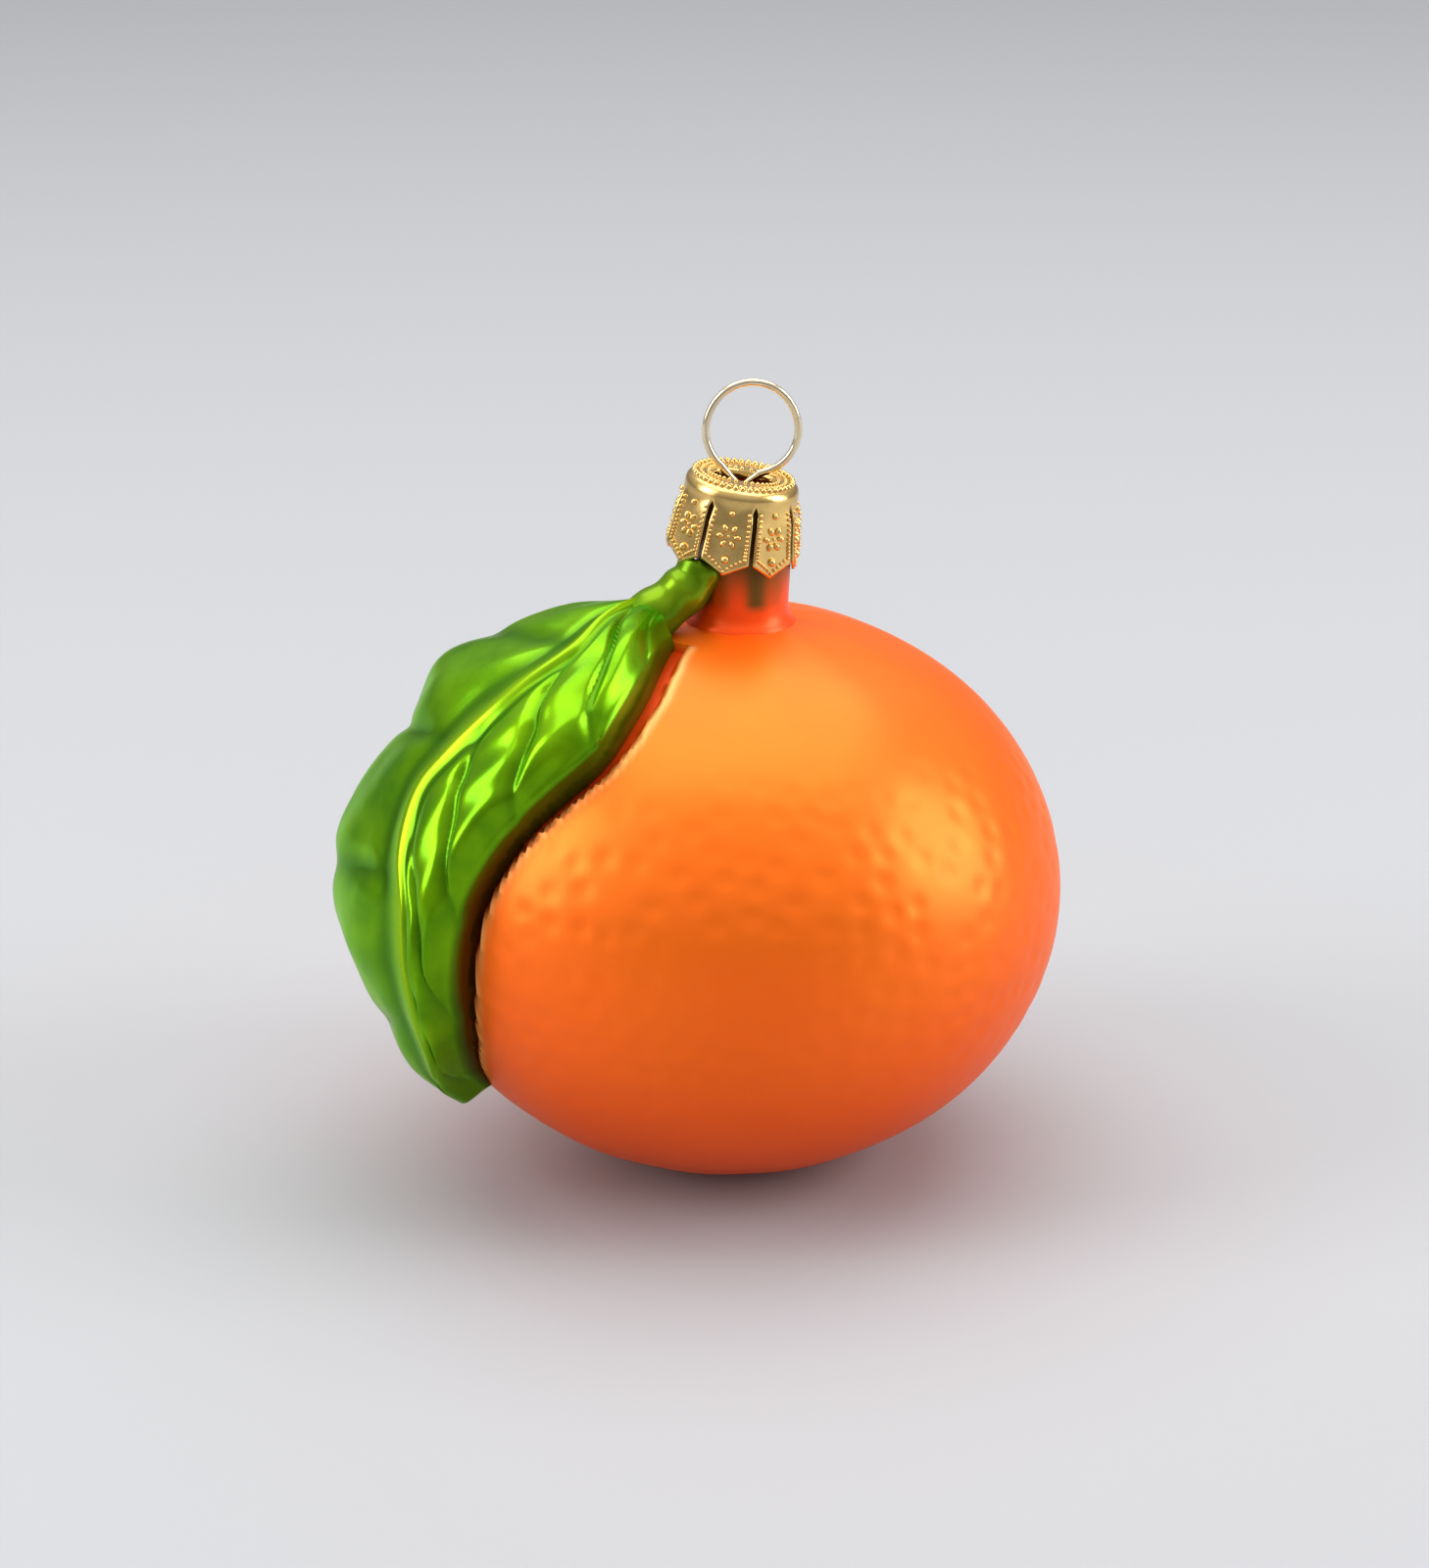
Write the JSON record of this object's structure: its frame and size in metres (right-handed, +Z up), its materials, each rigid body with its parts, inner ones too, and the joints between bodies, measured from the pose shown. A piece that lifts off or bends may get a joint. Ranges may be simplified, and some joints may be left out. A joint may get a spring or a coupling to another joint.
{
  "type": "glass mandarin ornament",
  "caption": "Blown-glass hanging ornament shaped like a mandarin with a moulded leaf, a stamped gold cap and a wire ring to hang it by.",
  "frame": {"origin": "middle of the small flat under the fruit that the ornament stands on", "axes": "+Z up through the fruit towards the cap and ring, +X to the right seen from the front, away from the leaf, +Y to the back"},
  "size_m": [0.0691, 0.063, 0.0759],
  "materials": {
    "orange_lacquer": "satin lacquer over silvered glass",
    "cap_gold": "bright gold, stamped",
    "pale_gold_wire": "pale gold wire"
  },
  "bodies": {
    "root": {"glass_body": "orange_lacquer", "ornament_cap": "cap_gold", "wire_hanger": "pale_gold_wire"}
  },
  "joints": []
}
